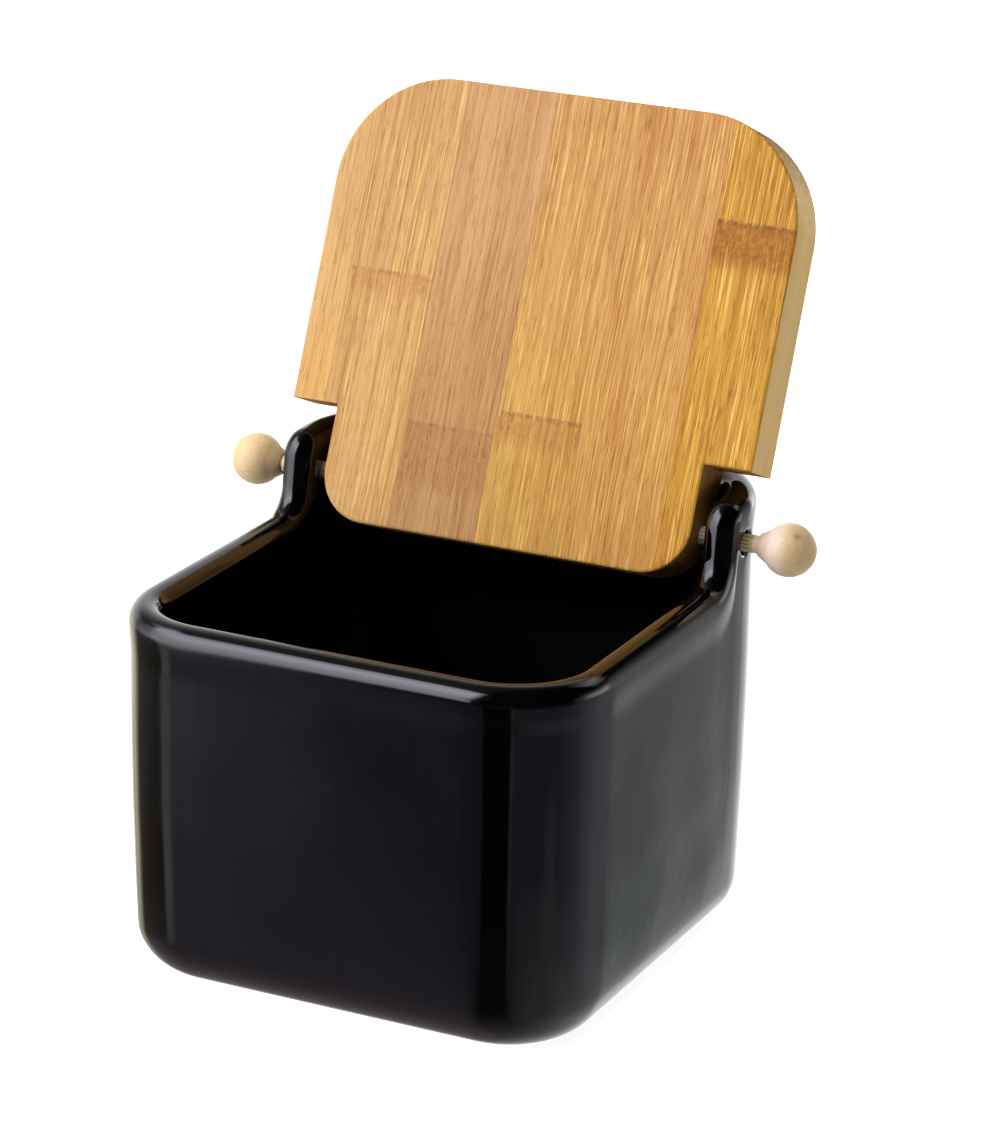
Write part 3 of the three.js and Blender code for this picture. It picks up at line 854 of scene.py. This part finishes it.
def knob_material(name, pale, tan, split_at, turned_at, knot_at=None):
    """Beech ball: a pale half and a tan half, the tan one partly painted shade on the right ball; fine pores,
    and perhaps a pin knot.
    """
    material, g, shader, here, _ = new_material(name, IOR=1.45)
    x, _, z = split(g, here)
    rings = g.noise(g.stretch(here, (0.10, 0.05, 0.45), turned_at), 1.0, 2, 0.5, 0.4)
    growth = g.math("SINE", g.math("MULTIPLY_ADD", rings, 26.0, g.math("MULTIPLY", z, 1.1)))
    pores = g.noise(g.stretch(here, (0.55, 3.2, 3.2), turned_at), 1.0, 2)
    # Where the tan half takes over; on the right ball this darkening of the outer half is partly painted
    # shade.
    tan_half_and_shade = g.ease(g.math("MULTIPLY_ADD", rings, 2.0, x), split_at, split_at + 2.4)
    colour = g.mix(tan_half_and_shade, pale, tan)
    year = g.ease(growth, 0.1, 1.0)
    colour = g.mix(g.math("MULTIPLY", year, 0.09), colour, GROWTH_TINT, "MULTIPLY")
    pore = g.ease(pores, 0.55, 0.72)
    colour = g.mix(g.math("MULTIPLY", pore, 0.30), colour, PORE_TINT, "MULTIPLY")
    if knot_at:
        away = g.node("ShaderNodeVectorMath", {0: here, 1: knot_at}, operation="DISTANCE").outputs["Value"]
        away = g.math("ADD", away, g.math("MULTIPLY", g.noise(here, 0.8, 2), 0.8))
        colour = g.mix(g.ease(away, 1.7, 0.6, 0.0, 0.6), colour, KNOT)
    g.put(shader, "Base Color", colour)
    g.put(shader, "Roughness", g.ease(pores, 0.3, 0.75, 0.42, 0.62))
    relief = g.math("MULTIPLY_ADD", pores, -0.8, g.math("MULTIPLY", g.noise(here, 1.2, 2), 0.4))
    g.put(shader, "Normal", g.bump(relief, KNOB_RELIEF, 0.5))
    return material


DOWEL_TONES = [(0.30, linear(232, 214, 168)), (0.52, linear(205, 190, 132)), (0.70, linear(160, 138, 84))]
GROOVE_SHADE = linear(120, 100, 56)
OUTER_END = linear(248, 226, 190)
# Painted light: the inner end, shaded by the tongue and the ear, is coloured pale as if lit.
INNER_END_PAINTED_LIGHT = linear(255, 248, 228)
INNER_END_TO = 48.5          # the painted light on the inner end reaches from the tongue to here
DOWEL_RELIEF = 0.00008       # metres


def dowel_material():
    material, g, shader, here, _ = new_material("dowel_wood", IOR=1.45)
    x, y, z = split(g, here)
    grain = g.noise(g.stretch(here, (0.06, 1.9, 1.9), (7, 3, 1)), 1.0, 3, 0.6)
    colour = g.ramp(grain, DOWEL_TONES)
    away = g.math("SQRT", g.math("ADD", g.math("MULTIPLY", y, y), g.math("MULTIPLY", z, z)))
    groove = g.times(g.ease(away, DOWEL_RADIUS - 0.02, DOWEL_RADIUS - FLUTE_DEPTH),
                     g.ease(x, FLUTED_TO, FLUTED_TO - 0.4))
    colour = g.mix(g.math("MULTIPLY", groove, 0.75), colour, GROOVE_SHADE)
    colour = g.mix(g.ease(x, FLUTED_TO + 0.2, FLUTED_TO + 1.0, 0.0, 0.6), colour, OUTER_END)
    # Painted light on the inner end, next to the tongue.
    colour = g.mix(g.ease(x, INNER_END_TO + 1.5, INNER_END_TO, 0.0, 0.9), colour, INNER_END_PAINTED_LIGHT)
    g.put(shader, "Base Color", colour)
    g.put(shader, "Roughness", g.ease(grain, 0.3, 0.7, 0.5, 0.7))
    g.put(shader, "Normal", g.bump(grain, DOWEL_RELIEF, 0.6))
    return material


# ---------------------------------------------------------------- the parts
build_bowl(glaze_material())
build_lid(bamboo_material())
fluted_wood = dowel_material()
knob_woods = {-1: knob_material("left_beech", linear(226, 200, 146), linear(220, 192, 138), 66.0, (3, 9, 4)),
              # The right ball's tan outer half is partly painted shade, darker on the side turned from the
              # light.
              1: knob_material("right_beech", linear(216, 200, 172), linear(208, 182, 132), 64.0, (8, 1, 6),
                               KNOT_AT)}
for side in (-1, 1):
    build_dowel(side, fluted_wood)
    build_knob(side, knob_woods[side])

# ---------------------------------------------------------------- stage
FLOOR_GLOW = 0.92        # what the camera sees, under the softbox's own light
FLOOR_SPILL = 0.22       # what lights the undersides
FLOOR_HALF_SIZE = 3.0    # metres
FLOOR_GREY = 0.6


def floor_material():
    """A white sweep that only a contact shadow darkens."""
    material = bpy.data.materials.new("pale_floor")
    material.use_nodes = True
    g = Graph(material.node_tree)
    shader = material.node_tree.nodes["Principled BSDF"]
    g.put(shader, "Base Color", (FLOOR_GREY, FLOOR_GREY, FLOOR_GREY))
    g.put(shader, "Roughness", 1.0)
    g.put(shader, "Emission Color", (1.0, 1.0, 1.0))
    seen = g.node("ShaderNodeLightPath").outputs["Is Camera Ray"]
    g.put(shader, "Emission Strength", g.math("MULTIPLY_ADD", seen, FLOOR_GLOW - FLOOR_SPILL, FLOOR_SPILL))
    return material


floor_mesh = bpy.data.meshes.new("floor")
reach = FLOOR_HALF_SIZE
floor_mesh.from_pydata([(-reach, -reach, 0), (reach, -reach, 0), (reach, reach, 0), (-reach, reach, 0)],
                       [], [(0, 1, 2, 3)])
floor_mesh.materials.append(floor_material())
floor = bpy.data.objects.new("floor", floor_mesh)
bpy.context.scene.collection.objects.link(floor)
floor.visible_glossy = False

# The studio round the bowl, as rings of light at given elevations (degrees). Each ring lists
# (azimuth, red, green, blue) or (azimuth, grey); azimuth 0 is in front (-Y), +90 is on the right (+X).
# A large lilac softbox stands front left, pale walls stand left, right and behind, and a black flag
# stands in front.
RINGS = [
    (-90, [(-180, .48, .41, .41)]),
    (-45, [(-180, 1.35), (-158, .95), (-140, .44, .37, .40), (-30, .38, .32, .35), (-8, .14), (32, .20),
           (60, .5), (90, .9), (120, 1.2)]),
    (-30, [(-180, 1.3), (-150, .9, .85, .75), (-118, .9, .85, .7), (-104, .3, .28, .28), (-30, .33, .28, .36),
           (-12, .10), (-5, .03), (22, .03), (34, .25), (60, .5), (90, .7), (160, .8), (169, 1.43)]),
    (-25, [(-180, 1.6), (-135, 1.5, 1.45, 1.15), (-119, 1.35, 1.3, 1.0), (-111, .52, .48, .32),
           (-105, .13, .11, .07), (-62, .12, .10, .09), (-58, .72, .70, .64),
           (-51, .72, .70, .64), (-46, .36, .30, .32), (-40, .30, .26, .35), (-31, .36, .31, .42),
           (-28, .22, .20, .27), (-25, .13, .12, .17), (-9, .12, .11, .15), (-5.5, .004), (22, .004),
           (24.5, .34), (27, .18, .17, .24), (75, .18, .17, .25), (99, .32, .31, .41),
           (111, .48, .46, .58), (128, .58, .56, .67), (141, .45, .45, .49), (154, .28, .30, .32),
           (156.3, .35, .38, .40), (158.2, .62, .66, .68), (160, 1.1), (164, 1.4), (172, 1.6)]),
    (-20, [(-180, 1.6), (-135, 1.5, 1.45, 1.15), (-115, 1.4, 1.35, 1.1), (-104, .22, .2, .15), (-66, .2),
           (-58, .72, .70, .64), (-51, .72, .70, .64), (-45, .62, .56, .64), (-31, .66, .60, .70),
           (-29, .40, .36, .46), (-27.5, .18, .17, .22), (-25, .13, .12, .17), (-9, .12, .11, .15),
           (-5.5, .004), (22, .004), (24.5, .34), (27, .18, .17, .24), (75, .18, .17, .25),
           (99, .32, .31, .41), (111, .48, .46, .58), (128, .58, .56, .67), (154, .40), (158, .60),
           (164, 1.25), (172, 1.4)]),
    (-15, [(-180, 1.6), (-150, 1.5), (-112, 1.5, 1.45, 1.2), (-100, .25, .22, .15), (-66, .5), (-60, 1.3),
           (-30, 1.9, 1.75, 2.1), (-27.5, .12), (-6, .04), (90, .06), (105, .5), (150, .56), (158, .7),
           (165, 2.0)]),
    (-9, [(-180, 1.6), (-150, 1.5), (-110, 2.1, 2.1, 1.6), (-98, .6), (-70, 1.6, 1.5, 1.8),
          (-60, 2.6, 2.4, 2.9), (-28, 2.8, 2.6, 3.1), (-26, .12), (-10, .04), (90, .06), (104, .6),
          (115, 2.2), (136, 2.2),
          (146, .60), (158, .7), (165, 4.2)]),
    (0, [(-180, 1.6), (-150, 1.6), (-112, 1.8), (-100, .6), (-76, 1.8, 1.7, 2.0), (-66, 3.2, 3.0, 3.5),
         (-22, 3.6, 3.3, 3.9), (-19, .15), (-10, .02), (88, .02), (100, .6), (112, 2.4), (136, 2.4),
         (146, .60), (158, .7), (165, 4.4)]),
    (12, [(-180, 1.6), (-150, 1.4), (-112, 1.3), (-100, .5), (-80, 1.2), (-64, 3.4, 3.2, 3.7),
          (-25, 4.4, 4.1, 4.8), (-18, .15), (-6, .01), (96, .01), (106, .3), (140, .35), (158, .25),
          (166, 2.8)]),
    (24, [(-180, .6), (-150, 1.2), (-126, .5), (-112, .2), (-96, .3), (-80, 1.6), (-64, 4.0, 3.8, 4.3),
          (-24, 5.6, 5.2, 6.0), (-14, .15), (0, .01), (120, .01), (172, .02)]),
    (33, [(-180, .8), (-150, 1.2), (-126, .5), (-108, .2), (-88, .3), (-78, 4.4), (-24, 6.6, 6.1, 7.1),
          (-13, .15), (0, .01), (126, .01), (134, 1.0), (150, 1.0), (158, .02), (174, .02)]),
    (42, [(-180, 1.0), (-150, 1.1, 1.0, 1.1), (-126, .5), (-110, .3), (-92, 2.0), (-80, 5.0, 4.7, 5.4),
          (-24, 7.2, 6.7, 7.7), (-12, .2), (0, .01), (126, .01), (134, 1.6), (166, 1.6), (174, .4)]),
    (54, [(-180, .6), (-140, .5), (-100, .4), (-88, 3.0, 2.8, 3.2), (-70, 4.6, 4.3, 5.0),
          (-24, 4.8, 4.4, 5.2),
          (-12, .1), (0, .01), (130, .01), (140, .5), (170, .4)]),
    (60, [(-180, .10), (-80, .25), (-30, .2), (-10, .02), (140, .02)]),
    (90, [(-180, .02)]),
]
RING_PEAK = 8.0          # a ramp holds values up to 1, so light is stored as shares of this
CEILING_FROM = 60        # above this elevation a soft ceiling, kept out of the glaze, lights the wood


def studio_world():
    """The rings blended into one light, and plain white where the camera sees it."""
    world = bpy.data.worlds.new("studio")
    world.use_nodes = True
    g = Graph(world.node_tree)
    way = split(g, g.node("ShaderNodeTexCoord").outputs["Generated"])
    turn = g.math("ARCTAN2", way[0], g.math("MULTIPLY", way[1], -1.0))
    across = g.math("MULTIPLY_ADD", turn, 0.5 / math.pi, 0.5)
    up = g.math("MULTIPLY", g.math("ARCSINE", way[2]), 180 / math.pi)
    light = None
    low = -90
    for high, listed in RINGS:
        stops = [(s[0] / 360 + 0.5, tuple(v / RING_PEAK for v in (s[1:] * 3)[:3])) for s in listed]
        stops.append((1.0, stops[0][1]))     # each ring ends as it begins
        ring = g.ramp(across, stops)
        if light is None:
            light = ring
            continue
        share = g.node("ShaderNodeMapRange", {0: up, 1: low, 2: high}).outputs[0]
        light = g.mix(share, light, ring)
        low = high
    paths = g.node("ShaderNodeLightPath").outputs
    overhead = g.node("ShaderNodeMapRange", {0: up, 1: CEILING_FROM, 2: 90}).outputs[0]
    unseen = g.math("SUBTRACT", 1.0, paths["Is Glossy Ray"])
    light = g.mix(1.0, light, g.times(overhead, across, unseen), "ADD")
    background = world.node_tree.nodes["Background"]
    g.put(background, "Color", light)
    g.put(background, "Strength", RING_PEAK)
    white = g.node("ShaderNodeBackground", {"Color": (1, 1, 1), "Strength": 1.0})
    shown = g.node("ShaderNodeMixShader", {0: paths["Is Camera Ray"], 1: background.outputs[0],
                                           2: white.outputs[0]})
    g.put(world.node_tree.nodes["World Output"], "Surface", shown.outputs[0])
    return world


bpy.context.scene.world = studio_world()
bpy.context.scene.view_settings.view_transform = "Standard"

# ---------------------------------------------------------------- camera
AZIMUTH, ELEVATION, ROLL = (math.radians(a) for a in (25.874, 19.186, 1.092))
CAMERA_AT = Vector((0.399290, -0.797623, 0.394802))  # metres
FOCAL_LENGTH, SENSOR_WIDTH = 144, 36
back = Vector((math.sin(AZIMUTH) * math.cos(ELEVATION), -math.cos(AZIMUTH) * math.cos(ELEVATION),
               math.sin(ELEVATION)))
right = Vector((math.cos(AZIMUTH), math.sin(AZIMUTH), 0))
up = back.cross(right)
rolled_right = right * math.cos(ROLL) + up * math.sin(ROLL)
rolled_up = up * math.cos(ROLL) - right * math.sin(ROLL)
camera = bpy.data.objects.new("camera", bpy.data.cameras.new("camera"))
bpy.context.scene.collection.objects.link(camera)
facing = Matrix((rolled_right, rolled_up, back)).transposed().to_4x4()
camera.matrix_world = Matrix.Translation(CAMERA_AT) @ facing
camera.data.sensor_width = SENSOR_WIDTH
camera.data.lens = FOCAL_LENGTH
camera.data.clip_start = 0.05
camera.data.clip_end = 20
bpy.context.scene.camera = camera
